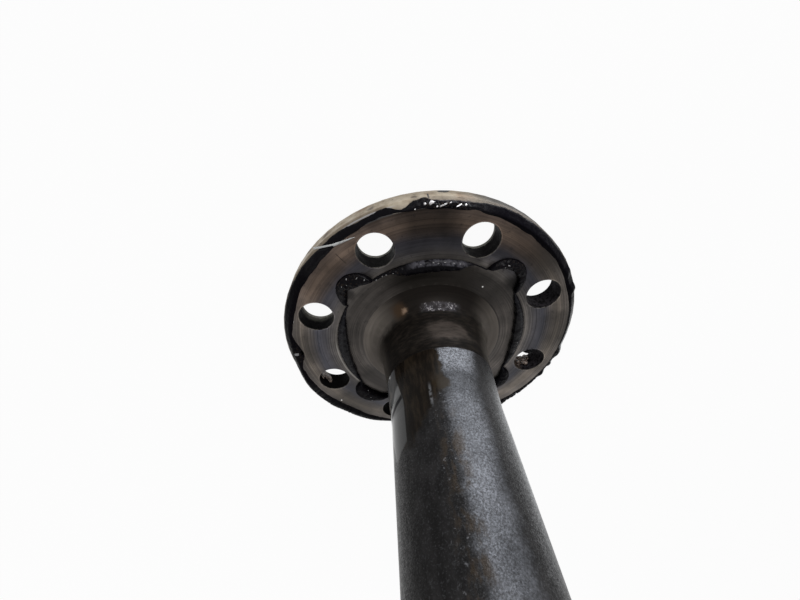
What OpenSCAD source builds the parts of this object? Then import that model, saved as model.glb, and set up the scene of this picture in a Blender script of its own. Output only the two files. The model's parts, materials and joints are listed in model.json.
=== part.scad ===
// Full-floating drive axle shaft, one forging: bolt flange, turned neck, as-forged body and splined end.
// It stands on the outboard face of its flange, with the shaft along +Z. Black sealant from the last
// fitting still clings to the inboard face, where it took the print of the hub.

/* [Flange] */
// Diameter of the flange
flange_d = 180; // [170:1:200]
// Thickness of the flange
flange_t = 13; // [10:0.5:18]
// Bevel round the rim at the outboard face
rim_bevel = 0.6; // [0.4:0.1:2]
// Chamfer round the rim at the inboard face
seat_chamfer = 4; // [2:0.1:5]
// Distance from the rim in to the circle that the bolt holes lie on
bolt_inset = 18.5; // [16:0.5:22]
// Number of bolt holes
bolt_count = 8; // [4:2:10]
// Diameter of a bolt hole
bolt_hole_d = 19.8; // [14:0.1:22]
// Bevel round the mouths of a bolt hole
hole_bevel = 0.3; // [0.2:0.1:1.2]
// Diameter of the forged dish in the outboard face
dish_d = 84; // [60:1:100]
// Depth of that dish
dish_depth = 2.5; // [1:0.1:4]
// Slope of the dish's side, from the face
dish_slope = 30; // [20:1:60]

/* [Neck] */
// Radius of the fillet between the flange and the neck, where there is room for it
neck_fillet = 16; // [8:0.5:18]
// Diameter of the neck where the fillet ends
neck_d = 61.6; // [60:0.2:66]
// Diameter of the neck where the turning stops
neck_end_d = 56.4; // [55:0.2:60]
// Height above the seat where the turning stops
neck_h = 35; // [26:1:50]
// Step from the turned neck up to the forged skin
skin_step = 0.4; // [0.2:0.1:1]
// Length over which the forging tapers to the body
flare_h = 24; // [10:1:60]

/* [Shaft] */
// Length from the outboard face to the splined end
overall_l = 1000; // [700:1:1200]
// Diameter of the as-forged body
body_d = 54.2; // [52:0.2:56]

/* [Spline] */
// Number of teeth
spline_teeth = 39; // [30:1:45]
// Diameter over the teeth
spline_d = 50.8; // [46:0.1:51.5]
// Depth of a tooth
tooth_depth = 1.5; // [1:0.05:1.8]
// Slope of a tooth's flank, the pressure angle
flank_angle = 30; // [20:1:40]
// Length of the spline at full depth
spline_l = 105; // [60:1:160]
// Length over which the cutter ran out
runout_l = 12; // [6:1:25]
// Length of the cone from the body down to the spline
shoulder_l = 10; // [4:1:30]
// Bevel at the splined end
end_bevel = 3; // [1:0.5:5]

/* [Lathe centres] */
// Diameter of the mouth of a centre hole
centre_d = 13; // [8:0.5:20]
// Diameter of its pilot drilling
centre_pilot_d = 5; // [3:0.5:6]
// Depth of the pilot drilling, from the mouth
centre_depth = 14; // [10:0.5:30]

/* [Inner bead] */
// Distance from the bolt circle in to the hub's bore, which bounds the bead
seat_inset = 13.5; // [12:0.5:16]
// Width of the bead midway between two pockets
inner_bead_w = 7; // [4:0.1:8]
// Radius of a round pocket in the hub's end
pocket_r = 12.3; // [9:0.1:13]
// How far a pocket's centre lies outside the bore
pocket_offset = 1; // [0:0.1:2]
// Radius of the bead's inner edge between two pockets
inner_bead_bow_r = 158; // [120:1:300]
// Least width of the bead, where a pocket meets the bore
inner_bead_least_w = 0.8; // [0.4:0.1:1.5]
// Height of the bead
inner_bead_h = 2.4; // [1.5:0.1:3]
// Least bare width between the neck's fillet and the bead
inner_bead_gap = 0.4; // [0.2:0.1:1]

/* [Outer bead] */
// How far the bead usually laps in over the seat
outer_bead_lap = 0.8; // [0.4:0.1:2]
// Usual width of the bead on the chamfer, where the chamfer has room for it
outer_bead_w = 3.2; // [1.5:0.1:4]
// Usual thickness of the bead on the chamfer
outer_bead_t = 0.6; // [0.3:0.1:2]
// Room left between the bead's facets and the round chamfer
outer_bead_clear = 0.1; // [0.06:0.02:0.2]

/* [Hidden] */
$fn = 96;

STEEL = [0.30, 0.28, 0.26];
SEALANT = [0.05, 0.05, 0.055];

// How far a cutting shape runs past the metal, so that no skin is left
PAST = 1;

seat_z = flange_t;
flange_r = flange_d / 2;
bolt_circle_r = flange_r - bolt_inset;
hub_bore_r = bolt_circle_r - seat_inset;
inner_bead_in_r = hub_bore_r - inner_bead_w;
neck_r = neck_d / 2;
fillet_r = min(neck_fillet, inner_bead_in_r - inner_bead_gap - neck_r);
neck_end_r = neck_end_d / 2;
neck_end_z = seat_z + neck_h;
skin_r = neck_end_r + skin_step;
body_r = body_d / 2;
flare_end_z = neck_end_z + skin_step + flare_h;
bolt_pitch = 360 / bolt_count;

spline_r = spline_d / 2;
root_r = spline_r - tooth_depth;
// Teeth and spaces are equally wide half way down the teeth
pitch_r = spline_r - tooth_depth / 2;
space_w = PI * pitch_r / spline_teeth;
spline_z = overall_l - spline_l;
runout_z = spline_z - runout_l;
shoulder_z = runout_z - shoulder_l;
end_bevel_r = spline_r - end_bevel * tan(flank_angle);

pocket_count = bolt_count / 2;
pocket_pitch = 360 / pocket_count;
pocket_centre_r = hub_bore_r + pocket_offset;
// Each pocket lies midway between two bolt holes
POCKETS = [for (i = [0 : pocket_count - 1]) i * pocket_pitch - bolt_pitch / 2];
// The pockets that the sealant filled, counted round the part
FILLED_POCKETS = [0, pocket_count - 1];
inner_bead_steps = 240;
// Height of a thin stretch of bead, as a share of its width
THIN_BEAD_RISE = 0.6;

chamfer_r = flange_r - seat_chamfer;
outer_bead_steps = 120;
// Where the torn bead is thick: middle, half spread in degrees, added thickness
OUTER_LUMPS = [
    [6, 6, 1.3],
    [42, 5, 1],
    [106, 11, 1.6],
    [217, 7, 0.7],
    [240, 22, 2.4],
    [285, 30, 1.2],
    [332, 10, 2],
    [346, 22, 0.9],
];
// Where it spread in over the seat: middle, half spread in degrees, added lap
OUTER_SPREADS = [[66, 22, 1.4], [115, 8, 0.8], [158, 14, 1.4], [201, 10, 4.6], [247, 12, 1.2]];
// How far the lap and the width of the bead vary, as shares
LAP_UNEVEN = 0.5;
WIDTH_UNEVEN = 0.2;
// The waves of its uneven edge: number round the part, share, shift in degrees
WAVES = [[5, 0.45, 0], [9, 0.32, 130], [17, 0.23, 250]];

// The turned outline, without its fillet, from the outboard face to the splined end
module shaft_outline() {
    polygon([
        [0, 0],
        [flange_r - rim_bevel, 0],
        [flange_r, rim_bevel],
        [flange_r, seat_z - seat_chamfer],
        [chamfer_r, seat_z],
        [neck_r, seat_z],
        [neck_r, seat_z + fillet_r],
        [neck_end_r, neck_end_z],
        [skin_r, neck_end_z + skin_step],
        [body_r, flare_end_z],
        [body_r, shoulder_z],
        [spline_r, runout_z],
        [spline_r, overall_l - end_bevel],
        [end_bevel_r, overall_l],
        [0, overall_l],
    ]);
}

// The round corner between the flange and the neck
module neck_fillet_outline() {
    difference() {
        translate([neck_r - PAST, seat_z - PAST])
            square(fillet_r + PAST);
        translate([neck_r + fillet_r, seat_z + fillet_r])
            circle(fillet_r);
    }
}

// One plain bolt hole, bevelled at both faces, on the part's axis
module bolt_hole() {
    hole_r = bolt_hole_d / 2;
    mouth_r = hole_r + hole_bevel + PAST;
    translate([0, 0, -PAST])
        cylinder(d = bolt_hole_d, h = flange_t + 2 * PAST);
    translate([0, 0, -PAST])
        cylinder(r1 = mouth_r, r2 = hole_r, h = hole_bevel + PAST);
    translate([0, 0, seat_z - hole_bevel])
        cylinder(r1 = hole_r, r2 = mouth_r, h = hole_bevel + PAST);
}

// The shallow forged dish in the outboard face
module dish() {
    slope_run = (dish_depth + PAST) / tan(dish_slope);
    floor_r = dish_d / 2 - dish_depth / tan(dish_slope);
    translate([0, 0, -PAST])
        cylinder(r1 = floor_r + slope_run, r2 = floor_r, h = dish_depth + PAST);
}

// A lathe centre with 60 degree sides, its mouth at z = 0 and its point upwards
module lathe_centre() {
    centre_r = centre_d / 2;
    pilot_r = centre_pilot_d / 2;
    cone_h = (centre_r - pilot_r) / tan(30);
    cylinder(r = pilot_r, h = centre_depth);
    translate([0, 0, -PAST])
        cylinder(r1 = centre_r + PAST * tan(30), r2 = pilot_r, h = cone_h + PAST);
}

// The space between two teeth, all round the spline
module groove_section() {
    top_r = spline_r + PAST;
    root_half = space_w / 2 - (pitch_r - root_r) * tan(flank_angle);
    top_half = space_w / 2 + (top_r - pitch_r) * tan(flank_angle);
    for (i = [0 : spline_teeth - 1])
        rotate(i * 360 / spline_teeth)
            polygon([
                [root_r, -root_half],
                [top_r, -top_half],
                [top_r, top_half],
                [root_r, root_half],
            ]);
}

// The spaces between the teeth, which grow shallow where the cutter ran out
module spline_grooves() {
    difference() {
        translate([0, 0, runout_z])
            linear_extrude(spline_l + runout_l + PAST)
                groove_section();
        translate([0, 0, runout_z - PAST])
            cylinder(r1 = spline_r + 2 * PAST, r2 = root_r - PAST / 4, h = runout_l + PAST);
    }
}

module axle_shaft() {
    color(STEEL)
        difference() {
            rotate_extrude() {
                shaft_outline();
                neck_fillet_outline();
            }
            for (i = [0 : bolt_count - 1])
                rotate(i * bolt_pitch)
                    translate([bolt_circle_r, 0, 0])
                        bolt_hole();
            dish();
            translate([0, 0, dish_depth])
                lathe_centre();
            translate([0, 0, overall_l])
                mirror([0, 0, 1])
                    lathe_centre();
            spline_grooves();
        }
}

// How far a ray from the axis runs to the far side of a circle, which is centred centre_r out at angle 0
function ray_to_circle(angle, centre_r, circle_r) =
    let (aside = centre_r * sin(angle))
    abs(aside) < circle_r ? centre_r * cos(angle) + sqrt(circle_r ^ 2 - aside ^ 2) : 0;

// The hub's outline: its bore and the pockets in it
function hub_edge(angle) =
    max(hub_bore_r, max([for (p = POCKETS) ray_to_circle(angle - p, pocket_centre_r, pocket_r)]));

// The bead's inner edge: bowed sides that meet in the pockets, except where a pocket is full
function inner_edge(angle) =
    let (
        bow_centre_r = inner_bead_in_r - inner_bead_bow_r,
        sides = [for (p = POCKETS) ray_to_circle(angle - p - pocket_pitch / 2, bow_centre_r, inner_bead_bow_r)],
        full = len([for (i = FILLED_POCKETS) if (cos(angle - POCKETS[i]) > cos(pocket_pitch / 2)) i]) > 0
    )
    min(min(sides), hub_edge(angle) - inner_bead_least_w, full ? pocket_centre_r : hub_edge(angle));

// One cross-section of the inner bead, as radius and height above the seat
function inner_bead_section(angle) =
    let (
        in_r = inner_edge(angle),
        out_r = hub_edge(angle),
        width = out_r - in_r,
        height = min(inner_bead_h, THIN_BEAD_RISE * width)
    )
    [
        [in_r, 0],
        [out_r, 0],
        [out_r, height / 2],
        [out_r - width / 4, height],
        [in_r + width / 4, 3 * height / 4],
    ];

// The faces of a closed ring swept through count sections of sides points each
function swept_ring_faces(count, sides) = [
    for (i = [0 : count - 1], j = [0 : sides - 1])
        let (
            here = i * sides,
            next = (i + 1) % count * sides,
            k = (j + 1) % sides
        )
        each [
            [here + j, here + k, next + k],
            [here + j, next + k, next + j],
        ]
];

// A bead that lies on the seat, swept round the part through equally spaced cross-sections
module bead(sections) {
    count = len(sections);
    points = [
        for (i = [0 : count - 1], p = sections[i])
            let (angle = i * 360 / count)
            [p[0] * cos(angle), p[0] * sin(angle), p[1]]
    ];
    color(SEALANT)
        translate([0, 0, seat_z])
            polyhedron(points = points, faces = swept_ring_faces(count, len(sections[0])));
}

module sealant_inner_bead() {
    bead([for (i = [0 : inner_bead_steps - 1]) inner_bead_section(i * 360 / inner_bead_steps)]);
}

// A smooth hump round an angle: entry is its middle, half spread and height
function hump(angle, entry) =
    let (away = abs((angle - entry[0] + 540) % 360 - 180))
    away < entry[1] ? entry[2] * (1 + cos(180 * away / entry[1])) / 2 : 0;

// All the humps of a list, added up at an angle
function humps(angle, entries, i = 0) =
    i == len(entries) ? 0 : hump(angle, entries[i]) + humps(angle, entries, i + 1);

// The uneven edge that torn sealant has, between -1 and 1
function ripple(angle, i = 0) =
    i == len(WAVES) ? 0 : WAVES[i][1] * sin(WAVES[i][0] * angle + WAVES[i][2]) + ripple(angle, i + 1);

// One cross-section of the outer bead, which laps in over the seat and lies down the chamfer
function outer_bead_section(angle) =
    let (
        lap = outer_bead_lap * (1 + LAP_UNEVEN * ripple(angle)) + humps(angle, OUTER_SPREADS),
        width = min(outer_bead_w * (1 + WIDTH_UNEVEN * ripple(angle + 180)), seat_chamfer),
        thick = outer_bead_t + humps(angle, OUTER_LUMPS),
        proud = thick * cos(45),
        edge_r = chamfer_r + outer_bead_clear
    )
    [
        [edge_r - lap, 0],
        [edge_r, 0],
        [edge_r + width, -width],
        [edge_r + width + proud, proud / 2 - width],
        [edge_r + width / 2 + proud, proud - width / 2],
        [edge_r - lap / 2, min(thick, lap) / 2],
    ];

module sealant_outer_bead() {
    bead([for (i = [0 : outer_bead_steps - 1]) outer_bead_section(i * 360 / outer_bead_steps)]);
}

axle_shaft();
sealant_inner_bead();
sealant_outer_bead();
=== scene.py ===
"""A used drive axle shaft: turned and forged steel, torn black sealant on its flange, and the stage."""
import json
from math import atan2, cos, degrees, hypot, pi, radians, sin, sqrt

import bmesh
import bpy
from mathutils import Matrix, Vector, noise
from mathutils.bvhtree import BVHTree


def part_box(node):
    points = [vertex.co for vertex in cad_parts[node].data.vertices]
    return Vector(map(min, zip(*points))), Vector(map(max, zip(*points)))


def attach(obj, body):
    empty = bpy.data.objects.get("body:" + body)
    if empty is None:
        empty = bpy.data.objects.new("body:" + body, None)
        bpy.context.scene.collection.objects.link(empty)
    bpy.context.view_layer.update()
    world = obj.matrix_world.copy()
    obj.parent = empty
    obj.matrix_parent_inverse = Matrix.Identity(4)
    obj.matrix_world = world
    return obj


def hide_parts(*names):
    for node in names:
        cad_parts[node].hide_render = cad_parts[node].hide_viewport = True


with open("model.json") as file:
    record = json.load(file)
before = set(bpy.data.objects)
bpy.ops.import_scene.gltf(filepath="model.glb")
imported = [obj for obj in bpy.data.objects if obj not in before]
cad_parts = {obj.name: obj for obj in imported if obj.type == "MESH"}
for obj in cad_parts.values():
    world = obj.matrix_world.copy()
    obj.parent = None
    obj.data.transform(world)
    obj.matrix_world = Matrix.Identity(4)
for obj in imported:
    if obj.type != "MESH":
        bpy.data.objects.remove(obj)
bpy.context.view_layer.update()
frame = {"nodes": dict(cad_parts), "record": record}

# Sizes in metres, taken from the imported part
MM = 0.001
MOUNTS = {mount["name"]: mount for mount in frame["record"]["mounts"]}
BOLTS = MOUNTS["flange_bolts"]["dims"]
SHAFT_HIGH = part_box("axle_shaft")[1]
FLANGE_R = SHAFT_HIGH.x
SEAT_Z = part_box("sealant_inner_bead")[0].z
BOLT_CIRCLE_R = BOLTS["pcd_mm"] / 2 * MM
HOLE_COUNT = BOLTS["count"]
HOLE_R = BOLTS["hole_r_mm"] * MM
HOLE_PITCH = 2 * pi / HOLE_COUNT

# Edges and places on the shaft
RIM_BEVEL = 0.6 * MM
HOLE_BEVEL = 0.3 * MM
SEAT_CHAMFER = 4 * MM
CHAMFER_R = FLANGE_R - SEAT_CHAMFER
NECK_END_Z = SEAT_Z + 35.2 * MM
SPLINE_SHOULDER_Z = SHAFT_HIGH.z - 127 * MM

# The print that the hub left in the sealant, as in the part's source
HUB_BORE_R = BOLT_CIRCLE_R - 13.5 * MM
INNER_BEAD_IN_R = HUB_BORE_R - 7 * MM
POCKET_R = 12.3 * MM
POCKET_CENTRE_R = HUB_BORE_R + 1 * MM
BOW_R = 158 * MM
POCKET_PITCH = pi / 2
POCKETS = [k * POCKET_PITCH - HOLE_PITCH / 2 for k in range(4)]
# The pockets that the sealant filled, and how far in the filling reaches
FILLED_POCKETS = ((POCKETS[0], POCKET_CENTRE_R + 2.5 * MM), (POCKETS[3], POCKET_CENTRE_R))
# Where each pocket's wall is; the third print tore, so it is smaller and a little round from its place
WALLS = [(angle, POCKET_R) for angle in POCKETS]
WALLS[2] = (POCKETS[2] - radians(1.7), POCKET_R - 0.9 * MM)
# Least width of a bead, and the inner one's height
LEAST_W = 0.8 * MM
INNER_BEAD_H = 3.0 * MM

# Where the inner bead was wiped thin: middle and half spread in degrees, then the share of width lost
INNER_WAISTS = ((86, 11, 0.8), (137, 12, 0.55))
# The pocket whose sealant only lines its wall, and how thick that lining is
LINED_POCKET = ((67.5, 15, 1.0),)
LINING_W = 6.5 * MM

# The usual thickness of the torn bead on the chamfer, its lap in over the seat and its reach down, in mm
OUTER_THICK, OUTER_LAP, OUTER_COVER = 0.35, 0.9, 3.4
# What is added to these, as middle and half spread in degrees, then mm.
# Where it is thick:
OUTER_LUMPS = (
    (2, 13, 0.5), (6.9, 4.4, 1.2), (-0.5, 2, 0.9), (41.5, 3.6, 1.2), (50, 3.2, 0.7), (106, 11, 1.3),
    (222, 14, 1.9), (238, 22, 3.2), (258, 16, 2.6), (285, 30, 1.2), (328.3, 6.2, 2.5), (334.5, 4, 1.3),
    (338.5, 3.5, 0.5), (344, 18, 1.4), (353, 3.2, 1.1),
)
# How far it laps in over the seat, more or less than usual:
OUTER_LAPS = (
    (70, 23, 1.0), (44, 14, 0.8), (96, 4, -0.8), (114.5, 4, -1.0), (127, 14, -1.7), (158, 14, 1.2),
    (180, 18, 1.5), (202.5, 11, 5.2), (247, 12, 1.2), (350, 24, -1.6),
)
# How far it lies down the chamfer, more or less than usual:
OUTER_COVERS = (
    (25, 12, -1.2), (103, 18, -0.9), (107.5, 3, -0.6), (113.2, 2.5, 0.9), (121, 5, -2.4), (135, 14, -1.0),
    (152, 12, -0.6), (240, 22, 0.6),
)
# Where it was torn ragged:
OUTER_TEARS = ((6, 8, 0.25), (43, 6, 0.06), (106, 12, 0.65), (202, 10, 0.3), (243, 26, 0.3), (336, 18, 0.5))


# Noise and small sums

def grain(point, size, octaves=3):
    """Layered noise, about -1 to 1, whose largest grains are size across."""
    return noise.fractal(Vector(point) / size, 1.0, 2.0, octaves)


def hump(angle, entries):
    """Smooth humps round the part, added up at an angle: entries are middle, half spread and height."""
    total = 0.0
    for middle, spread, height in entries:
        away = abs((degrees(angle) - middle + 540) % 360 - 180)
        if away < spread:
            total += height * (1 + cos(pi * away / spread)) / 2
    return total


def smooth(value, low, high):
    """0 below low, 1 above high, eased between."""
    t = min(max((value - low) / (high - low), 0.0), 1.0)
    return t * t * (3 - 2 * t)


def polar(radius, angle, height):
    return Vector((radius * cos(angle), radius * sin(angle), height))


# Material nodes

class Tree:
    """The nodes of one material, each joined up as it is added."""

    def __init__(self, name):
        self.material = bpy.data.materials.new(name)
        self.material.use_nodes = True
        self.tree = self.material.node_tree
        self.shader = self.tree.nodes["Principled BSDF"]
        self.place = self.add("TexCoord").outputs["Object"]
        split = self.add("SeparateXYZ", (self.place,)).outputs
        self.z = split["Z"]
        self.height = self.math("SUBTRACT", self.z, SEAT_Z)
        self.radius = self.length(split["X"], split["Y"])
        self.angle = self.math("ARCTAN2", split["Y"], split["X"])

    def add(self, kind, inputs=(), **settings):
        node = self.tree.nodes.new("ShaderNode" + kind)
        for key, value in settings.items():
            setattr(node, key, value)
        for socket, value in zip(node.inputs, inputs):
            self.feed(socket, value)
        return node

    def feed(self, socket, value):
        if isinstance(value, bpy.types.NodeSocket):
            self.tree.links.new(value, socket)
        elif value is not None:
            socket.default_value = value

    def math(self, operation, *values):
        return self.add("Math", values, operation=operation).outputs[0]

    def vector(self, operation, *values):
        return self.add("VectorMath", values, operation=operation).outputs

    def length(self, x, y):
        return self.vector("LENGTH", self.add("CombineXYZ", (x, y, 0.0)).outputs[0])["Value"]

    def stretch(self, scale):
        """The place on the part, with each axis multiplied."""
        return self.vector("MULTIPLY", self.place, scale)[0]

    def noise(self, size, detail=3.0, rough=0.55, place=None, seed=0.0):
        node = self.add("TexNoise", noise_dimensions="4D")
        self.feed(node.inputs["Vector"], place or self.place)
        self.feed(node.inputs["W"], seed)
        self.feed(node.inputs["Scale"], 1 / size)
        self.feed(node.inputs["Detail"], detail)
        self.feed(node.inputs["Roughness"], rough)
        return node.outputs["Fac"]

    def rings(self, size, wander=0.05, seed=0.0):
        """Noise in fine rings round the axis, as a lathe tool leaves it."""
        lines = self.math("DIVIDE", self.math("ADD", self.z, self.radius), size)
        turn = self.add("CombineXYZ", (
            self.math("MULTIPLY", self.math("COSINE", self.angle), wander),
            self.math("MULTIPLY", self.math("SINE", self.angle), wander),
            lines,
        )).outputs[0]
        return self.noise(1.0, 2.0, 0.6, turn, seed)

    def span(self, value, low, high, start=0.0, end=1.0, way="SMOOTHSTEP"):
        """A value between low and high, eased to between start and end and held there outside them."""
        node = self.add("MapRange", (value, low, high, start, end), interpolation_type=way)
        return node.outputs[0]

    def band(self, value, low, high, soft):
        """1 between low and high, falling to 0 over soft outside them."""
        rise = self.span(value, low - soft, low)
        fall = self.span(value, high, high + soft, 1.0, 0.0)
        return self.math("MULTIPLY", rise, fall)

    def arc(self, middle, spread, soft):
        """1 within spread of an angle, falling to 0 over soft; all in degrees."""
        away = self.math("WRAP", self.math("SUBTRACT", self.angle, radians(middle)), pi, -pi)
        return self.span(self.math("ABSOLUTE", away), radians(spread), radians(spread + soft), 1.0, 0.0)

    def shaken(self, value, field, amount):
        """A value that a field of noise moves up and down, by at most half of amount."""
        return self.math("MULTIPLY_ADD", self.math("SUBTRACT", field, 0.5), amount, value)

    def spot(self, centre, size, soft, ragged=0.0, grains=1.0):
        """1 within size of a point, with a ragged edge."""
        away = self.vector("DISTANCE", self.place, centre)["Value"]
        if ragged:
            away = self.shaken(away, self.noise(grains), ragged)
        return self.span(away, size, size + soft, 1.0, 0.0)

    def from_hole(self):
        """Distance from the axis of the nearest bolt hole."""
        turn = self.math("WRAP", self.angle, HOLE_PITCH / 2, -HOLE_PITCH / 2)
        out = self.math("MULTIPLY_ADD", self.radius, self.math("COSINE", turn), -BOLT_CIRCLE_R)
        aside = self.math("MULTIPLY", self.radius, self.math("SINE", turn))
        return self.length(out, aside)

    def all_of(self, *masks):
        result = masks[0]
        for mask in masks[1:]:
            result = self.math("MULTIPLY", result, mask)
        return result

    def any_of(self, *masks):
        result = masks[0]
        for mask in masks[1:]:
            result = self.math("MAXIMUM", result, mask)
        return result

    def shade(self, colour, tone):
        """A colour made lighter or darker by a factor."""
        return self.mix(1.0, colour, self.add("CombineColor", (tone, tone, tone)).outputs[0], "MULTIPLY")

    def tint(self, colour, mask, kept):
        """A colour made lighter or darker by a factor where a mask is 1."""
        return self.shade(colour, self.blend(mask, 1.0, kept))

    def mix(self, factor, a, b, blend="MIX"):
        node = self.add("Mix", data_type="RGBA", blend_type=blend, clamp_factor=True)
        self.feed(node.inputs[0], factor)
        for socket, value in zip(node.inputs[6:8], (a, b)):
            self.feed(socket, value if isinstance(value, bpy.types.NodeSocket) else (*value, 1.0))
        return node.outputs[2]

    def blend(self, factor, a, b):
        node = self.add("Mix", data_type="FLOAT", clamp_factor=True)
        for socket, value in zip(node.inputs[0:1] + node.inputs[2:4], (factor, a, b)):
            self.feed(socket, value)
        return node.outputs[0]

    def ramp(self, value, stops):
        node = self.add("ValToRGB", (value,))
        elements = node.color_ramp.elements
        while len(elements) < len(stops):
            elements.new(0.5)
        for element, (at, colour) in zip(elements, stops):
            element.position = at
            element.color = (*colour, 1.0)
        return node.outputs["Color"]

    def facets(self, size, tilt):
        """The surface's normal, tilted by chance in each small cell, as coarse scale glints."""
        cells = self.add("TexVoronoi")
        self.feed(cells.inputs["Vector"], self.place)
        self.feed(cells.inputs["Scale"], 1 / size)
        away = self.vector("SUBTRACT", cells.outputs["Color"], (0.5, 0.5, 0.5))[0]
        scaled = self.vector("SCALE", away, None, None, tilt)[0]
        normal = self.add("NewGeometry").outputs["Normal"]
        return self.vector("NORMALIZE", self.vector("ADD", normal, scaled)[0])[0]

    def bump(self, *layers, normal=None):
        """Stacked bumps: each layer is a height, how deep it is in metres, and how much of it shows."""
        for height, depth, share in layers:
            node = self.add("Bump")
            self.feed(node.inputs["Strength"], share)
            self.feed(node.inputs["Height"], height)
            self.feed(node.inputs["Distance"], depth)
            self.feed(node.inputs["Normal"], normal)
            normal = node.outputs[0]
        self.feed(self.shader.inputs["Normal"], normal)

    def finish(self, **sockets):
        for name, value in sockets.items():
            socket = self.shader.inputs[name.replace("_", " ")]
            if isinstance(value, tuple):
                value = (*value, 1.0)
            self.feed(socket, value)
        return self.material


def turned_tangent(tree, amount):
    """Stretch the highlight across the rings that turning left."""
    tangent = tree.add("Tangent", direction_type="RADIAL", axis="Z")
    tree.feed(tree.shader.inputs["Tangent"], tangent.outputs[0])
    tree.shader.inputs["Anisotropic"].default_value = amount


# Where the seat's outer ring is made darker or lighter, with painted shade by 66 and 112 degrees and a
# painted highlight at -20 degrees: middle, half spread and soft edge in degrees, then the light kept
SEAT_SHADES = (
    (-20, 9, 10, 1.35), (22, 5, 9, 0.55), (66, 7, 10, 0.55), (112, 5, 9, 0.3), (158, 5, 9, 0.5),
    (201, 6, 8, 0.45), (247, 8, 8, 0.5),
)


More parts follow.
